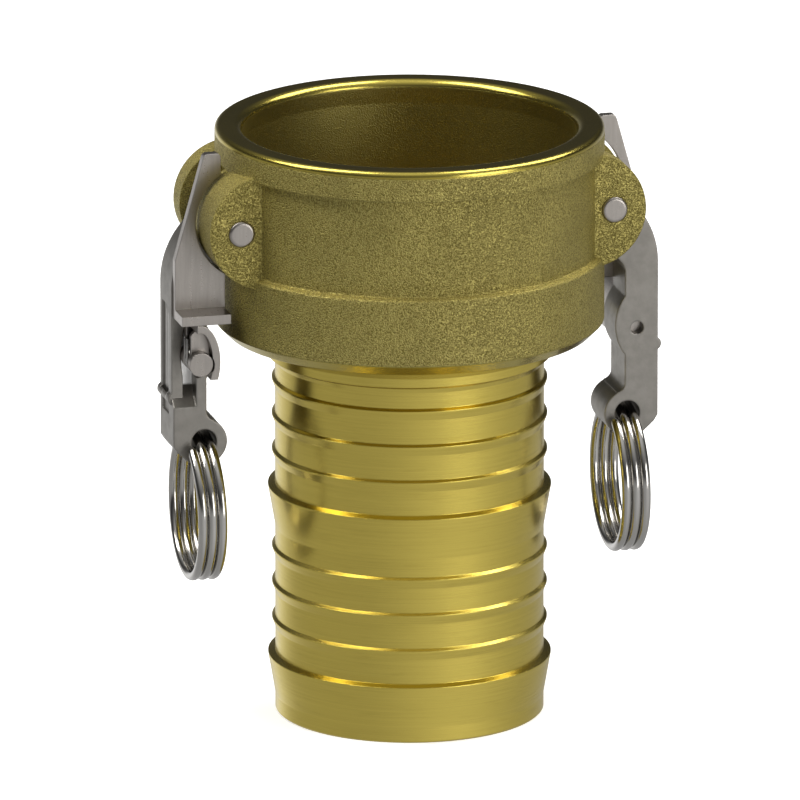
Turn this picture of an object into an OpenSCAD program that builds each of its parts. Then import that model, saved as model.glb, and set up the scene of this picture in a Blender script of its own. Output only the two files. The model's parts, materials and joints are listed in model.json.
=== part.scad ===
// Cam and groove coupler with a hose shank: two cam arms, each with a sprung lock and a split finger ring.
// Origin at the centre of the shank's lower end, +Z up the bore, arms on +X and -X.

/* [Body] */
// Radius of the bore that takes the male adapter
bore_r = 46.2; // [45.8:0.1:46.6]
// Radius of the bore's relief round the cams
relief_r = 46.75; // [46.7:0.05:47]
// Outer radius of the rim and of the lower drum
drum_r = 53.9; // [53:0.1:55]
// Outer radius of the wall between the rim and the drum
waist_r = 51.9; // [51:0.1:52.5]
// Height of the top face
top_z = 167.6; // [166:0.1:170]
// Height of the rim band's lower edge
rim_z = 159.3; // [158.6:0.1:160]
// Height of the ledge where the drum steps in to the waist
ledge_z = 131.2; // [130.5:0.1:131.5]
// Height of the drum's lower edge
drum_z = 112.4; // [111:0.1:113]
// Height of the joint between the body and the shank
seam_z = 105.2; // [105:0.1:106]

/* [Gasket] */
// Height of the gasket's seat
seat_z = 115.5; // [115:0.1:116]
// Outer radius of the gasket
gasket_r = 47.3; // [47:0.1:47.4]
// Inner radius of the gasket
gasket_bore_r = 38.1; // [37.5:0.1:39]
// Thickness of the gasket
gasket_t = 6.35; // [6:0.05:6.5]

/* [Shank] */
// Outer radius of the plain shank wall
shank_r = 37.3; // [37:0.1:37.5]
// Radius of the waterway through the shank
waterway_r = 33.5; // [32:0.1:34]
// Radius over a small barb
barb_r = 38.2; // [37.9:0.1:38.5]
// Radius over a large barb
big_barb_r = 39.3; // [39:0.1:39.5]
// Distance between the two groups of barbs
group_pitch = 48.3; // [48:0.1:48.6]
// Distance from one barb to the next
barb_pitch = 10.22; // [10:0.02:10.4]

/* [Lugs] */
// Distance of the lugs' round outline from the axis
lug_x = 45.8; // [45:0.1:46.5]
// Radius of the lugs' round outline
lug_r = 16.2; // [15.8:0.1:16.5]
// Distance of the lugs' outer faces from the middle plane
lug_y = 21.3; // [21:0.1:22]
// Thickness of the thick lug
thick_lug = 17.2; // [17:0.1:17.4]
// Thickness of the thin lug
thin_lug = 7.2; // [7:0.1:7.4]
// Distance of an arm's pin from the axis
pin_x = 53; // [52.8:0.1:53.6]
// Height of an arm's pin
pin_z = 144.8; // [144.5:0.1:145.4]
// Radius of an arm's pin
pin_r = 3.7; // [3.4:0.05:3.8]

/* [Arm] */
// Distance of an arm's outer face from the axis
arm_x = 69.1; // [68.9:0.1:69.3]
// Distance of an arm's inner face from the axis
arm_in_x = 59.7; // [59.5:0.1:60]
// Height of the sharp corner at an arm's foot
arm_foot_z = 80.6; // [80:0.1:82]
// Height where the outer face starts to curve in
shoulder_z = 125.3; // [124.5:0.1:126]
// Height of the cross rib on the left arm's outer face
rib_left_z = 94.4; // [94:0.1:102]
// Height of the cross rib on the right arm's outer face
rib_right_z = 101.8; // [94:0.1:102]
// Radius of the hole for the finger ring
ring_hole_r = 3.6; // [3.5:0.05:3.7]

/* [Lock] */
// Distance of the lock's pivot from the axis
pivot_x = 63.15; // [63:0.05:63.3]
// Height of the lock's pivot
pivot_z = 106.7; // [106.5:0.1:107]
// Radius of the lock's pivot pin
pivot_r = 1.85; // [1.8:0.05:1.9]
// Thickness of the lock plate
lock_t = 2.6; // [2.4:0.1:2.6]
// Height of the lock's tail
tail_z = 164.6; // [164:0.1:165.5]

/* [Finger ring] */
// Radius of the ring's wire
wire_r = 1.35; // [1.1:0.05:1.4]
// Mean radius of the ring
ring_r = 20.2; // [19.8:0.1:20.4]

/* [Hidden] */
$fn = 96;
rim_round = 1.5;                      // rounding of the rim outside, and of the mouth inside
mouth_round = 2.2;
bevel = 2.9;                          // turned bevel under the drum
guide_z = 134;                        // top of the close part of the bore, below the cams
hub_bore_r = waterway_r + 3;          // bore of the body's hub, and the shank's spigot
groove_z = seat_z + gasket_t + 0.35;  // top of the gasket's groove
gap = 0.3;                            // room between pieces that move past each other
run = 0.06;                           // radial room of a pin that turns in its hole
slot_y0 = -(lug_y - thin_lug);        // slot face of the thin lug
slot_y1 = lug_y - thick_lug;          // slot face of the thick lug
cam_r = 8;                            // round of the cam, off centre from its pin
cam_reach = 3.3;
cam_angle = 215;
hub_r = 6.5;                          // boss round the arm's pin
arm_sweep_r = 12.9;                   // nearest that the wide part of the arm comes to its pin
shoulder_r = 24.6;                    // curve of the arm's shoulder
bulge_r = 14.1;                       // bulge of the arm round the lock's pivot
bulge_x = 71;
bulge_z = 107.5;
eye_x = 60.4;                         // hole for the finger ring
eye_z = 82.3;
eye_r = 6.5;
arm_y0 = -7.7;                        // side faces of the arm
arm_y1 = 5.2;
foot_y1 = 7.5;                        // the arm's foot is thicker, up to the foot's top
foot_z = 92.5;
foot_bevel = 2.3;
neck_x = 62.6;
pocket_x = 63.2;                      // long round pocket round the pivot, down to the foot's slope
pocket_z = 106.5;
pocket_w = 3.2;
pocket_h = 10.5;
pocket_depth = 3;
lock_y0 = arm_y1 + gap;               // lock plate, beside the arm
lock_y1 = lock_y0 + lock_t;
hood_y = 16.3;                        // outer edge of the hood and of the thumb tab
tab_z0 = 118.1;
tab_z1 = 120.8;
tab_x0 = 54.8;
plate_x0 = 54.5;
tail_x0 = 55.7;                       // tail, above the lug
tail_x1 = 60.7;
lock_x = arm_x - 0.4;                 // outer edge of the lock
hood_x = 63.5;                        // hood over the spring's inner side, part of an ellipse
hood_z = 107.5;
hood_w = 5.6;
hood_h = 10.5;
hood_t = 2.1;
hood_foot_z = 102.4;
lock_eye_r = 3.4;                     // eye of the lock round its pivot
keeper_y0 = 11.7;                     // spring keeper, fixed in the hood
keeper_y1 = 13.1;
keeper_x0 = 60.3;
keeper_x1 = 65.5;
head_r = 3.35;                        // head of the pivot pin
head_t = 2.3;
spring_r = 2.85;
spring_wire_r = 0.42;
spring_turns = 3;
ring_z = 62.9;                        // centre of the hanging finger ring
ring_pitch = 2 * wire_r + 0.05;
ring_start = 28;                      // each end of the wire stops this far from the arm, in degrees
brass = "#7d723c";
turned_brass = "#a3924a";
cast_steel = "#8f8b83";
plated_steel = "#a5a29b";
black_rubber = "#1c1c1c";

// A side-view outline, x outward and z up, made solid from y0 to y1
module across(y0, y1) {
    translate([0, y1, 0]) rotate([90, 0, 0]) linear_extrude(y1 - y0) children();
}

// A cylinder along Y from y0 to y1
module pin_y(x, z, r, y0, y1) {
    translate([x, y1, z]) rotate([90, 0, 0]) cylinder(r = r, h = y1 - y0);
}

// The left side is the right side turned half round
module left() {
    rotate([0, 0, 180]) children();
}

// A round wire of radius r along the points of a path, as one closed skin
module wire(path, r, sides = 10) {
    last = len(path) - 1;
    function direction(i) = let (d = path[min(i + 1, last)] - path[max(i - 1, 0)]) d / norm(d);
    function ring(i) = let (t = direction(i), u = cross([1, 0.02, 0.01], t), a = u / norm(u), b = cross(t, a))
        [for (k = [0 : sides - 1]) path[i] + r * (a * cos(360 * k / sides) + b * sin(360 * k / sides))];
    polyhedron(
        points = [for (i = [0 : last]) each ring(i)],
        faces = concat(
            [[for (k = [0 : sides - 1]) k]],
            [for (i = [0 : last - 1]) for (k = [0 : sides - 1]) let (n = (k + 1) % sides)
                [i * sides + k, (i + 1) * sides + k, (i + 1) * sides + n, i * sides + n]],
            [[for (k = [sides - 1 : -1 : 0]) last * sides + k]]),
        convexity = 6);
}

// Half section of the body, from the hub up the outside and down the bore
module body_section() {
    polygon(concat(
        [[hub_bore_r, seam_z], [hub_bore_r + 3.7, seam_z], [drum_r - bevel, drum_z - bevel], [drum_r, drum_z],
         [drum_r, ledge_z - 0.4], [drum_r - 0.4, ledge_z], [waist_r, ledge_z + 0.5],
         [waist_r, rim_z - 0.6], [drum_r, rim_z]],
        [for (a = [0 : 10 : 90])
            [drum_r - rim_round + rim_round * cos(a), top_z - rim_round + rim_round * sin(a)]],
        [for (a = [90 : 10 : 180])
            [bore_r + mouth_round + mouth_round * cos(a), top_z - mouth_round + mouth_round * sin(a)]],
        [[relief_r, top_z - 3 * mouth_round], [relief_r, guide_z + 0.5], [bore_r, guide_z],
         [bore_r, groove_z], [gasket_r + 0.1, groove_z], [gasket_r + 0.1, seat_z], [hub_bore_r, seat_z]]));
}

module lug_plate(y0, y1) {
    pin_y(lug_x, pin_z, lug_r, y0, y1);
}

module side_lugs() {
    lug_plate(slot_y1, lug_y);
    lug_plate(-lug_y, slot_y0);
}

// Slot through the wall for the cam, and the pin's hole
module side_cuts() {
    slot_low = ledge_z + 1.4;
    slot_high = rim_z - 1.6;
    translate([bore_r - 6, slot_y0, slot_low]) cube([30, slot_y1 - slot_y0, slot_high - slot_low]);
    pin_y(pin_x, pin_z, pin_r, -lug_y - 1, lug_y + 1);
}

module coupler_body() color(brass) difference() {
    union() {
        rotate_extrude($fn = 180) body_section();
        difference() {
            union() {
                side_lugs();
                left() side_lugs();
            }
            translate([0, 0, drum_z]) cylinder(r = (bore_r + waist_r) / 2, h = top_z - drum_z, $fn = 180);
        }
    }
    side_cuts();
    left() side_cuts();
}

// One barb, tapered below its tip and stepped back above it
function barb(tip_z, tip_r, taper) =
    [[shank_r, tip_z - taper], [tip_r, tip_z - 0.2], [tip_r, tip_z + 0.2], [shank_r, tip_z + 0.8]];

function barb_group(z) = concat(barb(z, big_barb_r, 11.6),
    [for (i = [1 : 3]) each barb(z + i * barb_pitch, barb_r, 2.5)]);

module hose_shank() color(turned_brass) rotate_extrude($fn = 180) {
    first_barb_z = 16.2;
    neck_r = 39.5;
    neck_z = 102.6;
    edge = 0.5;
    polygon(concat(
        [[waterway_r + edge, 0], [shank_r - edge, 0], [shank_r, edge]],
        barb_group(first_barb_z), barb_group(first_barb_z + group_pitch),
        [[shank_r, neck_z - 2.2], [shank_r + 0.6, neck_z - 0.8], [neck_r, neck_z], [neck_r, seam_z],
         [hub_bore_r, seam_z], [hub_bore_r, seat_z], [waterway_r, seat_z], [waterway_r, edge]]));
}

module gasket() color(black_rubber) rotate_extrude($fn = 180) translate([gasket_bore_r, seat_z]) {
    edge = 0.8;
    width = gasket_r - gasket_bore_r;
    translate([edge, 0]) square([width - 2 * edge, gasket_t]);
    translate([0, edge]) square([width, gasket_t - 2 * edge]);
    for (x = [edge, width - edge]) for (z = [edge, gasket_t - edge])
        translate([x, z]) circle(r = edge, $fn = 32);
}

module arm_pin() color(plated_steel) {
    reach = lug_y - 0.2;
    crown = 0.9;
    pin_y(pin_x, pin_z, pin_r, -reach, reach);
    for (end = [-1, 1]) translate([pin_x, end * reach, pin_z]) rotate([-90 * end, 0, 0])
        rotate_extrude() polygon(concat([[0, 0]],
            [for (a = [0 : 15 : 90]) [pin_r - crown + crown * cos(a), crown * sin(a)]], [[0, crown]]));
}

// Boss round the pin, with the round cam off centre
module cam_outline() {
    translate([pin_x, pin_z]) {
        circle(r = hub_r);
        translate(cam_reach * [cos(cam_angle), sin(cam_angle)]) circle(r = cam_r);
    }
}

// Top of the arm, curved over outside and cut clear of the drum inside
module shoulder_outline() intersection() {
    translate([arm_x - shoulder_r, shoulder_z]) circle(r = shoulder_r);
    polygon([[arm_in_x, shoulder_z - 8], [arm_x + 1, shoulder_z - 8], [arm_x + 1, pin_z + 4],
             [pin_x, pin_z + 4], [pin_x - 4, pin_z - 4], [drum_r + 0.9, ledge_z + 2.4],
             [drum_r + 1.5, ledge_z - 2.2],
             [57.8, 126.7], [58.9, 125.4], [arm_in_x, 123.6]]);
}

// Straight bar with the bulge, down to the foot with its eye
module bar_outline() {
    foot_round = 1.6;
    polygon([[arm_in_x, shoulder_z], [arm_in_x, eye_z], [eye_x + 3.2, eye_z - 5.6],
             [arm_x - 4.3, arm_foot_z - 4.3 + 0.4], [arm_x - foot_round * 0.7, arm_foot_z - foot_round * 0.6],
             [arm_x, arm_foot_z + foot_round * 0.5], [arm_x, shoulder_z]]);
    translate([eye_x, eye_z]) circle(r = eye_r);
    difference() {
        polygon([[arm_in_x, eye_z], [arm_in_x, eye_z + eye_r + 2.3], [arm_in_x - 2.2, eye_z + eye_r],
                 [arm_in_x - 2.2, eye_z]]);
        translate([arm_in_x - 2.7, eye_z + eye_r + 2.2]) circle(r = 2.7);
    }
    intersection() {
        translate([bulge_x, bulge_z]) circle(r = bulge_r);
        translate([arm_x - 14, bulge_z - bulge_r]) square([14, 2 * bulge_r]);
    }
}

module arm_outline() {
    shoulder_outline();
    bar_outline();
}

module foot_outline() intersection() {
    bar_outline();
    translate([eye_x - 10, eye_z - 10]) square([30, foot_z + foot_bevel - eye_z + 10]);
}

module neck_outline() difference() {
    translate([arm_in_x, foot_z - 1]) square([neck_x - arm_in_x, pivot_z - foot_z]);
    translate([pivot_x, pivot_z]) circle(r = hood_w + gap);
}

module cam_arm(rib_z) color(cast_steel) difference() {
    union() {
        across(arm_y0, slot_y1 - gap) arm_outline();
        across(arm_y0, arm_y1) difference() {
            arm_outline();
            translate([lug_x, pin_z]) circle(r = lug_r + 0.8);
            translate([pin_x, pin_z]) circle(r = arm_sweep_r);
        }
        across(slot_y0 + gap, slot_y1 - gap) cam_outline();
        difference() {
            across(arm_y1, foot_y1) foot_outline();
            foot_slope(1);
        }
        across(arm_y1, foot_y1) neck_outline();
        rib(rib_z);
    }
    pin_y(pin_x, pin_z, pin_r + run, -lug_y, lug_y);
    pin_y(eye_x, eye_z, ring_hole_r, arm_y0 - 1, foot_y1 + 1);
    pin_y(pivot_x, pivot_z, pivot_r, arm_y0 - 1, arm_y1 + 1);
    pocket();
    panel();
}

// Pocket in the arm's side, round the pivot's boss
module pocket() difference() {
    across(arm_y1 - pocket_depth, arm_y1 + 1) difference() {
        union() {
            translate([pocket_x, pocket_z]) scale([pocket_w / pocket_h, 1]) circle(r = pocket_h);
            translate([neck_x, foot_z]) square([pocket_x + pocket_w - 0.5 - neck_x, pocket_z - foot_z - 4]);
        }
        translate([pivot_x, pivot_z]) circle(r = pivot_r + 1.1);
        translate([arm_in_x, foot_z]) square([neck_x - arm_in_x, pocket_h]);
    }
    foot_slope(-1);
}

// Half space above (side 1) or below (side -1) the slope on top of the foot
module foot_slope(side) {
    translate([0, foot_y1, foot_z]) rotate([-45, 0, 0])
        translate([40, -30, side > 0 ? 0 : -30]) cube([40, 60, 30]);
}

// Shallow plain panel in the outer face
module panel() {
    translate([arm_x - 0.5, -5.4, 89.5]) cube([1, 7.4, 31]);
}

// Rounded rib across the outer face
module rib(z) {
    rib_r = 1.9;
    pin_y(arm_x - rib_r / 2, z, rib_r, arm_y0, arm_y1);
}

function ellipse(w, h) = [for (a = [0 : 6 : 354]) [hood_x + w * cos(a), hood_z + h * sin(a)]];

// Flat plate of the lock from the tab up to the tail, cut clear of the lug
module tail_outline() difference() {
    corner = 1.2;
    union() {
        polygon([[lock_x, tab_z0], [lock_x, 134.6], [tail_x1, tail_z - corner], [tail_x1 - corner, tail_z],
                 [tail_x0 + corner, tail_z], [tail_x0, tail_z - corner], [tail_x0, 148],
                 [plate_x0, 130], [plate_x0, tab_z0]]);
        translate([tail_x1 - corner - 0.1, tail_z - corner]) circle(r = corner, $fn = 32);
        translate([tail_x0 + corner, tail_z - corner]) circle(r = corner, $fn = 32);
    }
    translate([lug_x, pin_z]) circle(r = lug_r + 0.8);
}

// Curved strip over the inner side of the spring
module hood_outline() difference() {
    polygon(ellipse(hood_w, hood_h));
    polygon(ellipse(hood_w - hood_t, hood_h - hood_t));
    translate([pivot_x, pivot_z]) circle(r = head_r + gap);
    translate([hood_x - 10, hood_z - 15]) square([20, hood_foot_z - hood_z + 15]);
    translate([hood_x + 0.8, hood_z - 15]) square([10, 30]);
}

module lock_latch() color(plated_steel) difference() {
    union() {
        across(lock_y0, lock_y1) {
            tail_outline();
            translate([pivot_x, pivot_z]) circle(r = lock_eye_r);
            translate([keeper_x0 + 0.3, pivot_z]) square([keeper_x1 - keeper_x0 - 0.3, tab_z0 - pivot_z + 1]);
        }
        across(lock_y0, hood_y) {
            hood_outline();
            translate([tab_x0, tab_z0]) square([lock_x - tab_x0, tab_z1 - tab_z0]);
        }
    }
    pin_y(pivot_x, pivot_z, pivot_r + run, lock_y0 - 1, lock_y1 + 1);
}

module lock_pin() color(plated_steel) {
    recess = 2.6;
    head_y = keeper_y1 + gap;
    pin_y(pivot_x, pivot_z, pivot_r, arm_y0 + recess, head_y + 0.5);
    pin_y(pivot_x, pivot_z, head_r, head_y, head_y + head_t);
}

module spring_keeper() color(plated_steel) across(keeper_y0, keeper_y1) difference() {
    intersection() {
        union() {
            translate([keeper_x0, pivot_z]) square([keeper_x1 - keeper_x0, hood_h]);
            translate([pivot_x, pivot_z]) circle(r = head_r - 0.4);
        }
        polygon(ellipse(hood_w - hood_t, hood_h - hood_t));
    }
    translate([pivot_x, pivot_z]) circle(r = pivot_r + run);
}

module lock_spring() color(plated_steel) {
    coil_y0 = lock_y1 + spring_wire_r + 0.15;
    coil_y1 = keeper_y0 - spring_wire_r - 0.15;
    steps = 20;
    count = spring_turns * steps;
    wire(concat(
        [[pivot_x + spring_r, coil_y0, pivot_z + 6.5]],
        [for (i = [0 : count]) let (a = 360 * i / steps)
            [pivot_x + spring_r * cos(a), coil_y0 + (coil_y1 - coil_y0) * i / count,
             pivot_z + spring_r * sin(-a)]],
        [[pivot_x + spring_r, coil_y1, pivot_z - 5.5]]), spring_wire_r, 8);
}

// Three turns of wire, open beside the arm
module finger_ring() color(plated_steel) {
    sweep = 1080 - 2 * ring_start;
    count = 132;
    middle_y = (arm_y0 + foot_y1) / 2;
    wire([for (i = [0 : count]) let (a = ring_start + sweep * i / count)
        [eye_x - ring_pitch * (a / 360 - 1.5), middle_y + ring_r * sin(a), ring_z + ring_r * cos(a)]],
        wire_r, 12);
}

coupler_body();
hose_shank();
gasket();
left() arm_pin();  // arm_pin_left
arm_pin();  // arm_pin_right
left() cam_arm(rib_left_z);  // cam_arm_left
cam_arm(rib_right_z);  // cam_arm_right
left() lock_latch();  // lock_latch_left
lock_latch();  // lock_latch_right
left() lock_pin();  // lock_pin_left
lock_pin();  // lock_pin_right
left() spring_keeper();  // spring_keeper_left
spring_keeper();  // spring_keeper_right
left() lock_spring();  // lock_spring_left
lock_spring();  // lock_spring_right
left() finger_ring();  // finger_ring_left
finger_ring();  // finger_ring_right
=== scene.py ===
import json
import math

import bpy
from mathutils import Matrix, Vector


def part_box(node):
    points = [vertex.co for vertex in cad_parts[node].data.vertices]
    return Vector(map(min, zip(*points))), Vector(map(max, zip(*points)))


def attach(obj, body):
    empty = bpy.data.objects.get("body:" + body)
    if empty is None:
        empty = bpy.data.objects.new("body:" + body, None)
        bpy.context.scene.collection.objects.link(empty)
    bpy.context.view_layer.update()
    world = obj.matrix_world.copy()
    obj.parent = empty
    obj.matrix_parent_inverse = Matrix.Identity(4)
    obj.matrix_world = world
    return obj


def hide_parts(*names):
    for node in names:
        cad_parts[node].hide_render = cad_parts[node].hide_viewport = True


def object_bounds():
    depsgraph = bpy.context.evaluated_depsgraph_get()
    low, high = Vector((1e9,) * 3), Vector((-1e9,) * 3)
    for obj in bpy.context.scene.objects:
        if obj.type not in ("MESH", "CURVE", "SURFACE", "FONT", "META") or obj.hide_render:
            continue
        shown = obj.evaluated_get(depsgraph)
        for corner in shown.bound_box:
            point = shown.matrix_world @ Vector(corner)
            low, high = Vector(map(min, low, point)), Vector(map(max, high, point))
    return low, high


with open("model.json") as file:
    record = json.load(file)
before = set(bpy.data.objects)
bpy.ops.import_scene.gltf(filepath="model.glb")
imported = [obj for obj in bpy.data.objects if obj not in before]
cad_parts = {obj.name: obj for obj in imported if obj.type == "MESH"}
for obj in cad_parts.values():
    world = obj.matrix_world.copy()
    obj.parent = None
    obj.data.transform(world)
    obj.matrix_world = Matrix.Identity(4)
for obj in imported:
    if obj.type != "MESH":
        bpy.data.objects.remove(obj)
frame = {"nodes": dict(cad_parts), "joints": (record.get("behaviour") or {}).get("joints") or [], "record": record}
cadLow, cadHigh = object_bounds()
mm = 0.001
sides = ("left", "right")
print("frame loaded:", len(frame["nodes"]), "parts")


class Signal:
    # One output socket, so that shader maths can be written as plain expressions
    def __init__(self, graph, socket):
        self.graph = graph
        self.socket = socket

    def math(self, operation, *others):
        return self.graph.add("ShaderNodeMath", {"operation": operation}, (self,) + others)

    def __add__(self, other):
        return self.math("ADD", other)

    def __sub__(self, other):
        return self.math("SUBTRACT", other)

    def __rsub__(self, other):
        return self.graph.add("ShaderNodeMath", {"operation": "SUBTRACT"}, (other, self))

    def __mul__(self, other):
        return self.math("MULTIPLY", other)

    __radd__ = __add__
    __rmul__ = __mul__

    def power(self, exponent):
        return self.math("POWER", exponent)

    def root(self):
        return self.math("SQRT")

    def above(self, low, high):
        # 0 below low, 1 above high, smooth between
        return self.graph.add("ShaderNodeMapRange", {"interpolation_type": "SMOOTHSTEP"},
                              (self, low, high, 0.0, 1.0))

    def below(self, low, high):
        return 1 - self.above(low, high)

    def spread(self, low, high):
        # a signal from 0 to 1 is taken to the range from low to high
        return self.graph.add("ShaderNodeMapRange", {"clamp": True}, (self, 0.0, 1.0, low, high))


class Graph:
    def __init__(self, tree):
        self.tree = tree

    def add(self, kind, settings=None, values=(), output=0):
        node = self.tree.nodes.new(kind)
        for key, value in (settings or {}).items():
            if key == "stops":
                while len(node.color_ramp.elements) < len(value):
                    node.color_ramp.elements.new(0.5)
                for element, (place, colour) in zip(node.color_ramp.elements, value):
                    element.position = place
                    element.color = (*colour, 1)
            else:
                setattr(node, key, value)
        pairs = values.items() if isinstance(values, dict) else enumerate(values)
        for key, value in pairs:
            if isinstance(value, Signal):
                self.tree.links.new(value.socket, node.inputs[key])
            else:
                node.inputs[key].default_value = value
        return Signal(self, node.outputs[output])

    def place(self):
        return self.add("ShaderNodeTexCoord", output="Object")

    def split(self, vector):
        first = self.add("ShaderNodeSeparateXYZ", values=(vector,))
        outputs = first.socket.node.outputs
        return [Signal(self, outputs[i]) for i in range(3)]

    def stretch(self, vector, scale):
        return self.add("ShaderNodeMapping", values={"Vector": vector, "Scale": scale})

    def noise(self, vector, scale, detail=3.0, rough=0.55):
        values = {"Vector": vector, "Scale": scale, "Detail": detail, "Roughness": rough}
        return self.add("ShaderNodeTexNoise", values=values)

    def cells(self, vector, scale):
        return self.add("ShaderNodeTexVoronoi", {"feature": "F1"}, {"Vector": vector, "Scale": scale})

    def blend(self, factor, first, second):
        node = self.tree.nodes.new("ShaderNodeMix")
        node.data_type = "RGBA"
        for key, value in (("Factor_Float", factor), ("A_Color", first), ("B_Color", second)):
            socket = next(s for s in node.inputs if s.identifier == key)
            if isinstance(value, Signal):
                self.tree.links.new(value.socket, socket)
            else:
                socket.default_value = (*value, 1) if isinstance(value, tuple) else value
        return Signal(self, next(s for s in node.outputs if s.identifier == "Result_Color"))

    def ramp(self, signal, stops):
        return self.add("ShaderNodeValToRGB", {"stops": stops}, (signal,))

    def rounded(self, radius):
        # normal as if the edges had this radius
        return self.add("ShaderNodeBevel", {"samples": 6}, (radius,))

    def edges(self, soft):
        # 0 on flat faces, up to 1 on edges
        flat = self.add("ShaderNodeNewGeometry", output="Normal")
        return (1 - self.dot(flat, soft)).above(0.01, 0.16)

    def dot(self, first, second):
        settings = {"operation": "DOT_PRODUCT"}
        return self.add("ShaderNodeVectorMath", settings, (first, second), output="Value")

    def bump(self, height, strength, distance, normal):
        values = {"Height": height, "Strength": strength, "Distance": distance, "Normal": normal}
        return self.add("ShaderNodeBump", values=values)


def newMaterial(name, metallic):
    material = bpy.data.materials.new(name)
    material.use_nodes = True
    graph = Graph(material.node_tree)
    shader = next(n for n in material.node_tree.nodes if n.type == "BSDF_PRINCIPLED")
    shader.inputs["Metallic"].default_value = metallic
    return material, graph, shader


def connect(graph, shader, **signals):
    for name, signal in signals.items():
        graph.tree.links.new(signal.socket, shader.inputs[name.replace("_", " ")])


castBrass = {
    "shade": (0.14, 0.115, 0.030), "light": (0.60, 0.51, 0.165), "worn": (0.17, 0.145, 0.045),
    "edgeColour": (0.42, 0.36, 0.13), "lip": (0.50, 0.41, 0.085), "lipDark": (0.34, 0.27, 0.06),
    "bore": (0.40, 0.34, 0.12), "grain": 2000, "broad": 60, "toolMarks": (30, 30, 9000),
    "lipDepth": 2.2 * mm, "bevelHeight": 7.1 * mm, "boreRadius": 46.9 * mm, "edge": 0.7 * mm,
}


def castBrassMaterial():
    # sand-cast skin outside, a smoother one in the bore, machined lip and lower bevel
    material, graph, shader = newMaterial("castBrassSkin", 1.0)
    place = graph.place()
    x, y, z = graph.split(place)
    radius = (x * x + y * y).root()
    low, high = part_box("coupler_body")
    bevelTop = low.z + castBrass["bevelHeight"]
    lipFoot = high.z - castBrass["lipDepth"]
    lip = z.above(lipFoot, lipFoot + 0.5 * mm)
    bore = radius.below(castBrass["boreRadius"], castBrass["boreRadius"] + 0.4 * mm)
    machined = lip.math("MAXIMUM", z.below(bevelTop, bevelTop + 0.3 * mm))
    inside = bore * (1 - lip)
    grain = graph.noise(place, castBrass["grain"], 2.5, 0.6)
    pits = graph.cells(place, castBrass["grain"] * 1.5)
    broad = graph.noise(place, castBrass["broad"], 3.0)
    sand = (grain * 0.75 + pits * 0.45).above(0.3, 0.85)
    soft = graph.rounded(castBrass["edge"])
    skin = graph.blend(sand, castBrass["shade"], castBrass["light"])
    skin = graph.blend(broad.above(0.35, 0.75) * 0.25, skin, castBrass["worn"])
    skin = graph.blend(graph.edges(soft) * 0.2, skin, castBrass["edgeColour"])
    rings = graph.noise(graph.stretch(place, castBrass["toolMarks"]), 1.0, 2.0)
    turned = graph.blend(rings.spread(0.0, 0.3), castBrass["lip"], castBrass["lipDark"])
    boreSkin = graph.blend(sand * 0.4, castBrass["bore"], castBrass["lip"])
    colour = graph.blend(machined, graph.blend(inside, skin, boreSkin), turned)
    castRough = sand * -0.14 + 0.58 - inside * 0.12
    rough = machined * (rings * 0.10 + 0.15) + (1 - machined) * castRough
    height = (1 - machined) * sand * (1 - inside * 0.7) + machined * rings * 0.06
    bumped = graph.bump(height, 0.65, 0.3 * mm, soft)
    connect(graph, shader, Base_Color=colour, Roughness=rough, Normal=bumped)
    return material


turnedBrass = {
    "colour": (0.70, 0.56, 0.12), "dark": (0.48, 0.37, 0.07), "feed": (20, 20, 7000),
    "streak": (120, 120, 900), "broad": 45, "rough": 0.15, "edge": 0.25 * mm,
}


def turnedBrassMaterial():
    # lathe-turned, with fine feed lines round the shank
    material, graph, shader = newMaterial("turnedBrass", 1.0)
    place = graph.place()
    feed = graph.noise(graph.stretch(place, turnedBrass["feed"]), 1.0, 3.0, 0.7)
    streak = graph.noise(graph.stretch(place, turnedBrass["streak"]), 1.0, 2.0)
    broad = graph.noise(place, turnedBrass["broad"], 2.0)
    soft = graph.rounded(turnedBrass["edge"])
    darker = feed.above(0.3, 0.75) * 0.35 + streak.above(0.5, 0.85) * 0.2
    colour = graph.blend(darker, turnedBrass["colour"], turnedBrass["dark"])
    rough = feed * 0.10 + broad * 0.08 + turnedBrass["rough"]
    bumped = graph.bump(feed, 0.10, 0.08 * mm, soft)
    connect(graph, shader, Base_Color=colour, Roughness=rough, Normal=bumped)
    return material


# where the near-white painted highlight on the pocket floors is laid
pocketPlace = {
    "depth": (2.05 * mm, 2.12 * mm, 2.3 * mm, 2.4 * mm),
    "height": (93 * mm, 94 * mm, 118 * mm, 119 * mm),
    "inner": (60 * mm, 60.2 * mm),
}


def between(signal, limits):
    # 1 in the middle of the limits, with soft sides
    return signal.above(limits[0], limits[1]) * signal.below(limits[2], limits[3])


def paintedHighlightPocketFloor(graph, place):
    # 1 on the floors of the two pockets in the arms' sides, where a near-white painted highlight is laid
    x, y, z = graph.split(place)
    floor = between(y.math("ABSOLUTE"), pocketPlace["depth"])
    return floor * between(z, pocketPlace["height"]) * x.math("ABSOLUTE").above(*pocketPlace["inner"])


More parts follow.
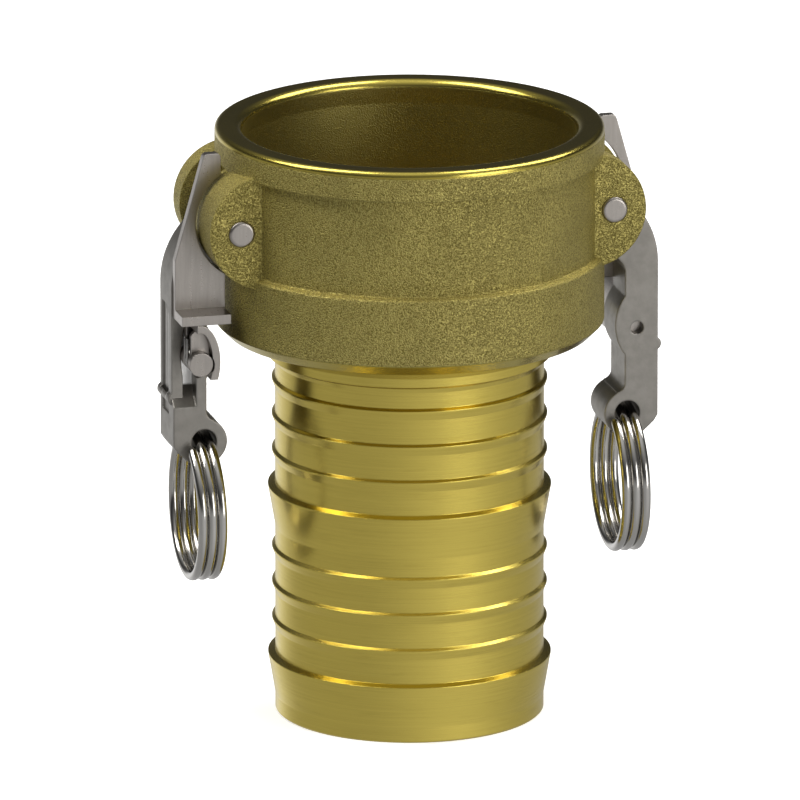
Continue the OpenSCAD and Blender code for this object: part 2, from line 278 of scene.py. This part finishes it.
def steelMaterial(name, settings):
    material, graph, shader = newMaterial(name, 1.0)
    place = graph.place()
    grain = graph.noise(place, settings["grain"], 3.0, 0.6)
    brush = graph.noise(graph.stretch(place, settings["brush"]), 1.0, 2.5, 0.6)
    broad = graph.noise(place, 70, 2.0)
    soft = graph.rounded(settings["edge"])
    darker = brush.above(0.25, 0.8) * 0.5 + broad.above(0.4, 0.8) * 0.2
    colour = graph.blend(darker, settings["colour"], settings["dark"])
    colour = graph.blend(graph.edges(soft) * 0.45, colour, settings["bright"])
    # the pocket floors get a near-white painted highlight, a stand-in for light rather than the steel's own colour
    if "pocket" in settings:
        colour = graph.blend(paintedHighlightPocketFloor(graph, place), colour, settings["pocket"])
    rough = brush * 0.12 + grain * 0.10 + settings["rough"] - 0.11
    bumped = graph.bump(grain * 0.7 + brush * 0.3, settings["bump"], 0.12 * mm, soft)
    connect(graph, shader, Base_Color=colour, Roughness=rough, Normal=bumped)
    return material


# castSteel's pocket colour is a near-white painted highlight for the pocket floors
castSteel = {"colour": (0.285, 0.270, 0.245), "dark": (0.20, 0.19, 0.172), "bright": (0.45, 0.435, 0.41),
             "grain": 1600, "brush": (300, 300, 300), "rough": 0.42, "bump": 0.28, "edge": 0.7 * mm,
             "pocket": (0.92, 0.91, 0.89)}
platedSteel = {"colour": (0.395, 0.365, 0.335), "dark": (0.29, 0.27, 0.25), "bright": (0.60, 0.58, 0.55),
               "grain": 2600, "brush": (900, 900, 90), "rough": 0.30, "bump": 0.12, "edge": 0.35 * mm}
springSteel = {"colour": (0.42, 0.41, 0.39), "dark": (0.30, 0.29, 0.28), "bright": (0.6, 0.59, 0.57),
               "grain": 3000, "brush": (1500, 60, 1500), "rough": 0.24, "bump": 0.06, "edge": 0.1 * mm}
ringSteel = {"colour": (0.52, 0.505, 0.48), "dark": (0.38, 0.37, 0.35), "bright": (0.64, 0.63, 0.61),
             "grain": 2400, "brush": (1200, 60, 60), "rough": 0.15, "bump": 0.04, "edge": 0.15 * mm}


def rubberMaterial():
    material, graph, shader = newMaterial("blackRubber", 0.0)
    place = graph.place()
    bloom = graph.noise(place, 90, 4.0)
    grain = graph.noise(place, 1800, 2.0)
    colour = graph.ramp(bloom, [(0.3, (0.010, 0.010, 0.010)), (0.75, (0.030, 0.029, 0.028))])
    connect(graph, shader, Base_Color=colour, Roughness=bloom * 0.2 + 0.5,
            Normal=graph.bump(grain, 0.2, 0.1 * mm, graph.rounded(0.3 * mm)))
    return material


slotMaterials = {
    "cast_brass": castBrassMaterial(),
    "turned_brass": turnedBrassMaterial(),
    "gasket_rubber": rubberMaterial(),
    "cast_steel": steelMaterial("castSteel", castSteel),
    "plated_steel": steelMaterial("platedSteel", platedSteel),
    "spring_steel": steelMaterial("springSteel", springSteel),
    "ring_steel": steelMaterial("ringSteel", ringSteel),
}
for part in frame["record"]["subparts"]:
    target = frame["nodes"][part["node"]]
    target.data.materials.clear()
    target.data.materials.append(slotMaterials[part["material_slot"]])
print("materials made:", len(slotMaterials))


def deselectAll():
    if bpy.context.object and bpy.context.object.mode != "OBJECT":
        bpy.ops.object.mode_set(mode="OBJECT")
    bpy.ops.object.select_all(action="DESELECT")


def woundWire(wireRadius, wireSides, coilRadius, axis, start, sweep, rise, steps):
    # a round wire wound about the X or Y axis through the origin
    # about X it starts above the axis, about Y beside it
    deselectAll()
    bpy.ops.mesh.primitive_circle_add(vertices=wireSides, radius=wireRadius)
    wire = bpy.context.object
    beside = (0, 0, coilRadius) if axis == "X" else (coilRadius, 0, 0)
    bpy.ops.object.mode_set(mode="EDIT")
    bpy.ops.mesh.select_all(action="SELECT")
    if axis == "X":
        bpy.ops.transform.rotate(value=math.radians(90), orient_axis="X", center_override=(0, 0, 0))
    bpy.ops.transform.translate(value=beside)
    bpy.ops.object.mode_set(mode="OBJECT")
    winding = wire.modifiers.new("winding", "SCREW")
    winding.axis = axis
    winding.angle = sweep
    winding.screw_offset = rise
    winding.steps = winding.render_steps = steps
    winding.use_merge_vertices = False
    bpy.ops.object.modifier_apply(modifier="winding")
    wire.rotation_euler = (start, 0, 0) if axis == "X" else (0, start, 0)
    bpy.ops.object.transform_apply(location=True, rotation=True, scale=True)
    return wire


def selectOpenEnds(wire, keep=lambda point: True):
    # selects the open edge loops whose points keep() accepts
    bpy.ops.object.mode_set(mode="EDIT")
    bpy.ops.mesh.select_mode(type="VERT")
    bpy.ops.mesh.select_all(action="DESELECT")
    bpy.ops.mesh.select_non_manifold()
    bpy.ops.object.mode_set(mode="OBJECT")
    for point in wire.data.vertices:
        point.select = point.select and keep(point.co)
    bpy.ops.object.mode_set(mode="EDIT")
    bpy.ops.mesh.select_mode(type="EDGE")


def closeEnds(wire, keep, rounding):
    selectOpenEnds(wire, keep)
    bpy.ops.mesh.edge_face_add()
    bpy.ops.mesh.bevel(offset=rounding, segments=2, affect="EDGES")
    bpy.ops.object.mode_set(mode="OBJECT")


def finishWire(wire, node, body, slot, centre, side):
    wire.name = node + "_smooth"
    wire.data.name = wire.name
    if side == "left":
        wire.rotation_euler = (0, 0, math.pi)
    wire.location = centre
    bpy.ops.object.transform_apply(location=True, rotation=True, scale=True)
    bpy.ops.object.mode_set(mode="EDIT")
    bpy.ops.mesh.select_all(action="SELECT")
    bpy.ops.mesh.normals_make_consistent(inside=False)
    bpy.ops.object.mode_set(mode="OBJECT")
    bpy.ops.object.shade_smooth_by_angle(angle=math.radians(45))
    wire.data.materials.append(slotMaterials[slot])
    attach(wire, body)
    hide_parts(node)


fingerRing = {"wire": 1.35 * mm, "pitch": 2.75 * mm, "gapAngle": 28, "turns": 3, "steps": 300, "sides": 20,
              "rounding": 0.3 * mm}


def makeFingerRing(side):
    node = "finger_ring_" + side
    low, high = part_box(node)
    radius = (high.z - low.z) / 2 - fingerRing["wire"]
    gapAngle = math.radians(fingerRing["gapAngle"])
    sweep = math.tau * fingerRing["turns"] - 2 * gapAngle
    rise = fingerRing["pitch"] * sweep / math.tau
    ring = woundWire(fingerRing["wire"], fingerRing["sides"], radius, "X", gapAngle, sweep, rise,
                     fingerRing["steps"])
    for end in (lambda point: point.x < rise / 2, lambda point: point.x > rise / 2):
        closeEnds(ring, end, fingerRing["rounding"])
    ring.location.x = -rise / 2
    bpy.ops.object.transform_apply(location=True, rotation=True, scale=True)
    finishWire(ring, node, "ring_" + side, "ring_steel", (low + high) / 2, side)


lockSpring = {"wire": 0.42 * mm, "turns": 3, "steps": 120, "sides": 12, "rounding": 0.08 * mm}


def makeLockSpring(side):
    node = "lock_spring_" + side
    low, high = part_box(node)
    joint = next(j for j in frame["joints"] if j["name"] == "lock_" + side + "_pivot")
    pivot = Vector(joint["pos_m"])
    wire = lockSpring["wire"]
    reach = (high.x - pivot.x if side == "right" else pivot.x - low.x) - wire
    rise = high.y - low.y - 2 * wire
    spring = woundWire(wire, lockSpring["sides"], reach, "Y", 0, math.tau * lockSpring["turns"], rise,
                       lockSpring["steps"])
    legs = ((lambda point: point.y < rise / 2, high.z - pivot.z),
            (lambda point: point.y > rise / 2, low.z - pivot.z))
    for end, length in legs:
        selectOpenEnds(spring, end)
        bpy.ops.mesh.extrude_region_move(TRANSFORM_OT_translate={"value": (0, 0, length)})
        bpy.ops.object.mode_set(mode="OBJECT")
        closeEnds(spring, end, lockSpring["rounding"])
    start = low.y + wire if side == "right" else high.y - wire
    finishWire(spring, node, "lock_" + side, "spring_steel", Vector((pivot.x, start, pivot.z)), side)


def reportSize(piece, side):
    # how far the smooth wire's box is from its part's box
    wire = bpy.data.objects[piece + "_" + side + "_smooth"]
    points = [vertex.co for vertex in wire.data.vertices]
    low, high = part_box(piece + "_" + side)
    off = 0
    for axis in range(3):
        places = [point[axis] for point in points]
        off = max(off, abs(min(places) - low[axis]), abs(max(places) - high[axis]))
    print(wire.name, "within", round(off / mm, 2), "mm of its part")


for side in sides:
    makeFingerRing(side)
    makeLockSpring(side)
    for piece in ("finger_ring", "lock_spring"):
        reportSize(piece, side)
print("wire pieces made")


floorSettings = {"size": 4.0, "colour": (0.9, 0.9, 0.9), "lift": 0.55}


def makeFloor():
    deselectAll()
    bpy.ops.mesh.primitive_plane_add(size=floorSettings["size"])
    floor = bpy.context.object
    floor.name = "studioFloor"
    material, graph, shader = newMaterial("paleFloor", 0.0)
    shader.inputs["Base Color"].default_value = (*floorSettings["colour"], 1)
    shader.inputs["Roughness"].default_value = 0.9
    shader.inputs["Emission Color"].default_value = (1, 1, 1, 1)
    shader.inputs["Emission Strength"].default_value = floorSettings["lift"]
    floor.data.materials.append(material)
    floor.visible_glossy = False  # the brass mirrors the studio, not the sheet it stands on


studio = {"base": 0.03, "below": 0.42, "horizon": 0.12, "camera": 1.0}
glows = (  # direction, tightness, strength
    ((0.0, -0.1, 1.0), 3.0, 0.9),
    ((0.45, -0.85, -0.35), 3.0, 0.30),
    ((-0.24, 0.93, -0.27), 14.0, 0.55),
)


def makeWorld():
    world = bpy.data.worlds.new("studio")
    bpy.context.scene.world = world
    world.use_nodes = True
    graph = Graph(world.node_tree)
    direction = graph.add("ShaderNodeTexCoord", output="Generated")
    height = graph.split(direction)[2]
    light = height.below(-studio["horizon"], studio["horizon"]) * studio["below"] + studio["base"]
    for aim, tightness, strength in glows:
        toward = tuple(Vector(aim).normalized())
        light = light + graph.dot(direction, toward).math("MAXIMUM", 0.0).power(tightness) * strength
    seen = graph.add("ShaderNodeLightPath", output="Is Camera Ray")
    light = light * (1 - seen) + seen * studio["camera"]
    background = next(n for n in world.node_tree.nodes if n.type == "BACKGROUND")
    background.inputs["Color"].default_value = (1, 1, 1, 1)
    graph.tree.links.new(light.socket, background.inputs["Strength"])


softboxes = {
    "overheadLeft": {"at": (-0.62, 0.10, 1.05), "size": (0.45, 0.9), "power": 9.0,
                     "colour": (1.0, 0.98, 0.94)},
    "overheadRight": {"at": (0.62, 0.10, 1.05), "size": (0.45, 0.9), "power": 9.0,
                      "colour": (1.0, 0.98, 0.94)},
    "frontFill": {"at": (0.9, -1.5, 0.35), "size": (0.9, 0.9), "power": 10.0,
                  "colour": (1.0, 0.99, 0.97)},
}


def makeSoftboxes():
    middle = (cadLow + cadHigh) / 2
    for name, box in softboxes.items():
        light = bpy.data.lights.new(name, "AREA")
        light.shape = "RECTANGLE"
        light.size, light.size_y = box["size"]
        light.energy = box["power"]
        light.color = box["colour"]
        lamp = bpy.data.objects.new(name, light)
        bpy.context.scene.collection.objects.link(lamp)
        lamp.location = box["at"]
        lamp.rotation_euler = (middle - lamp.location).to_track_quat("-Z", "Y").to_euler()


cameraSettings = {"toward": (-0.2379, -0.9333, 0.2689), "distance": 6.1, "frameWidth": 0.2216,
                  "aim": (-0.00255, 0.00065, 0.08815)}


def makeCamera():
    camera = bpy.data.cameras.new("studioCamera")
    camera.sensor_width = 36
    camera.lens = camera.sensor_width * cameraSettings["distance"] / cameraSettings["frameWidth"]
    view = bpy.data.objects.new("studioCamera", camera)
    bpy.context.scene.collection.objects.link(view)
    back = Vector(cameraSettings["toward"]).normalized()
    view.location = Vector(cameraSettings["aim"]) + back * cameraSettings["distance"]
    view.rotation_euler = (-back).to_track_quat("-Z", "Y").to_euler()
    bpy.context.scene.camera = view


makeFloor()
makeWorld()
makeSoftboxes()
makeCamera()
bpy.context.scene.view_settings.view_transform = "Standard"
print("studio set up")
